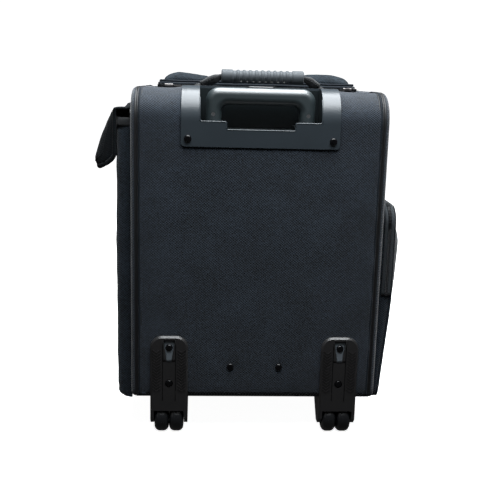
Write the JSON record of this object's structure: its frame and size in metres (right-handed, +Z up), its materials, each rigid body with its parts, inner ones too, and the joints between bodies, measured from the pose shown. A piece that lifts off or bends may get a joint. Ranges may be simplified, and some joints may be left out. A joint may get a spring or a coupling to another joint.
{
  "type": "wheeled pilot flight case",
  "caption": "Fabric-covered upright case that loads from the top: padded zipped lid, two-stage trolley handle with release button, carry handle, twin-wheel casters, side and front pockets.",
  "frame": {"origin": "on the floor under the centre of the bounding box", "axes": "+Z up, -Y towards the trolley and wheel side, +Y towards the front pocket, +X to the right seen from the trolley side"},
  "size_m": [0.4177, 0.268, 0.4916],
  "materials": {
    "cover_fabric": "woven polyester over foam",
    "pocket_fabric": "woven polyester",
    "lid_fabric": "woven polyester over padding",
    "flap_fabric": "coated woven polyester",
    "webbing": "woven webbing",
    "zip_tape": "knitted zip tape",
    "hinge_cloth": "woven cloth",
    "piping": "satin cord",
    "board": "extruded board",
    "lining": "lined board",
    "bezel_plastic": "satin, fine pebble",
    "cup_plastic": "satin",
    "housing_plastic": "matt, fine grain",
    "foot_plastic": "matt",
    "grip_plastic": "gloss",
    "button_plastic": "satin gloss",
    "plug_plastic": "moulded",
    "wheel_plastic": "semi-gloss tread",
    "tube_metal": "anodised",
    "steel": "zinc plated",
    "rivet_metal": "black gloss",
    "nickel": "nickel plated",
    "handle_rubber": "soft ribbed rubber"
  },
  "bodies": {
    "case": {"back_cover": "cover_fabric", "front_cover": "cover_fabric", "left_cover": "cover_fabric", "right_cover": "cover_fabric", "base_cover": "cover_fabric", "back_board": "board", "front_board": "board", "left_board": "board", "right_board": "board", "base_board": "board", "inner_wall": "lining", "edge_piping": "piping", "trolley_bezel": "bezel_plastic", "trolley_cup": "cup_plastic", "outer_tubes": "tube_metal", "tube_bracket": "steel", "panel_rivets": "rivet_metal", "caster_left": "housing_plastic", "caster_right": "housing_plastic", "wheel_axles": "steel", "front_feet": "foot_plastic", "foot_screws": "steel", "left_pocket": "pocket_fabric", "right_pocket": "pocket_fabric", "right_pocket_zip": "zip_tape", "front_pocket": "pocket_fabric", "front_pocket_zip": "zip_tape", "mouth_zip": "zip_tape", "lid_hinge_tape": "hinge_cloth", "handle_anchors": "webbing"},
    "lid": {"lid_board": "board", "lid_cover": "lid_fabric", "lid_zip": "zip_tape"},
    "carry_handle": {"handle_strap": "webbing", "handle_grip": "handle_rubber"},
    "trolley_lower": {"middle_tubes": "tube_metal", "middle_collars": "plug_plastic", "middle_plugs": "plug_plastic"},
    "trolley_upper": {"inner_tubes": "tube_metal", "lock_plugs": "plug_plastic", "lock_pins": "steel", "grip_back_shell": "grip_plastic", "grip_front_shell": "grip_plastic", "grip_screws": "nickel", "button_spring": "steel"},
    "release": {"release_button": "button_plastic", "push_rods": "steel"},
    "wheel_lo": {"wheel_left_outer": "wheel_plastic"},
    "wheel_li": {"wheel_left_inner": "wheel_plastic"},
    "wheel_ro": {"wheel_right_outer": "wheel_plastic"},
    "wheel_ri": {"wheel_right_inner": "wheel_plastic"},
    "flap": {"left_flap": "flap_fabric"},
    "zip_a": {"lid_slider_left": "nickel"},
    "zip_a_pull": {"lid_pull_left": "nickel"},
    "zip_b": {"lid_slider_right": "nickel"},
    "zip_b_pull": {"lid_pull_right": "nickel"},
    "zip_side": {"side_slider": "nickel"},
    "zip_side_pull": {"side_pull": "nickel"},
    "zip_front": {"front_slider": "nickel"},
    "zip_front_pull": {"front_pull": "nickel"}
  },
  "joints": [
    {"name": "trolley_lower_slide", "type": "slide", "parent": "case", "child": "trolley_lower", "axis": [0, 0, 1], "range_m": [0, 0.25]},
    {"name": "trolley_upper_slide", "type": "slide", "parent": "trolley_lower", "child": "trolley_upper", "axis": [0, 0, 1], "range_m": [0, 0.25]},
    {"name": "release_press", "type": "slide", "parent": "trolley_upper", "child": "release", "axis": [0, 0, -1], "range_m": [0, 0.003], "stiffness_N_per_m": 600, "springref_m": -0.003, "deforming": ["button_spring"]},
    {"name": "lid_hinge", "type": "hinge", "parent": "case", "child": "lid", "pos_m": [0, 0.0886, 0.4694], "axis": [-1, 0, 0], "range_deg": [0, 110]},
    {"name": "handle_hinge", "type": "hinge", "parent": "case", "child": "carry_handle", "pos_m": [0, -0.0645, 0.472], "axis": [1, 0, 0], "range_deg": [-30, 45]},
    {"name": "flap_hinge", "type": "hinge", "parent": "case", "child": "flap", "pos_m": [-0.1682, -0.014, 0.4432], "axis": [0, 1, 0], "range_deg": [-6, 90]},
    {"name": "lid_zip_left", "type": "slide", "parent": "case", "child": "zip_a", "axis": [1, 0, 0], "range_m": [0, 0.1]},
    {"name": "lid_zip_left_pull", "type": "hinge", "parent": "zip_a", "child": "zip_a_pull", "pos_m": [-0.1142, -0.0503, 0.4687], "axis": [0, -1, 0], "range_deg": [0, 90]},
    {"name": "lid_zip_right", "type": "slide", "parent": "case", "child": "zip_b", "axis": [-1, 0, 0], "range_m": [0, 0.106]},
    {"name": "lid_zip_right_pull", "type": "hinge", "parent": "zip_b", "child": "zip_b_pull", "pos_m": [0.121, -0.0546, 0.4704], "axis": [-1, 0, 0], "range_deg": [0, 90]},
    {"name": "side_zip", "type": "slide", "parent": "case", "child": "zip_side", "axis": [0, 1, 0], "range_m": [-0.085, 0.045]},
    {"name": "side_zip_pull", "type": "hinge", "parent": "zip_side", "child": "zip_side_pull", "pos_m": [0.178, 0.0142, 0.317], "axis": [-1, 0, 0], "range_deg": [0, 90]},
    {"name": "front_zip", "type": "slide", "parent": "case", "child": "zip_front", "axis": [1, 0, 0], "range_m": [-0.15, 0.02]},
    {"name": "front_zip_pull", "type": "hinge", "parent": "zip_front", "child": "zip_front_pull", "pos_m": [0.0712, 0.113, 0.39], "axis": [0, 1, 0], "range_deg": [0, 90]},
    {"name": "wheel_lo_spin", "type": "hinge", "parent": "case", "child": "wheel_lo", "pos_m": [-0.12555, -0.114, 0.02], "axis": [1, 0, 0], "continuous": true},
    {"name": "wheel_li_spin", "type": "hinge", "parent": "case", "child": "wheel_li", "pos_m": [-0.10545, -0.114, 0.02], "axis": [1, 0, 0], "continuous": true},
    {"name": "wheel_ri_spin", "type": "hinge", "parent": "case", "child": "wheel_ri", "pos_m": [0.10545, -0.114, 0.02], "axis": [1, 0, 0], "continuous": true},
    {"name": "wheel_ro_spin", "type": "hinge", "parent": "case", "child": "wheel_ro", "pos_m": [0.12555, -0.114, 0.02], "axis": [1, 0, 0], "continuous": true}
  ]
}
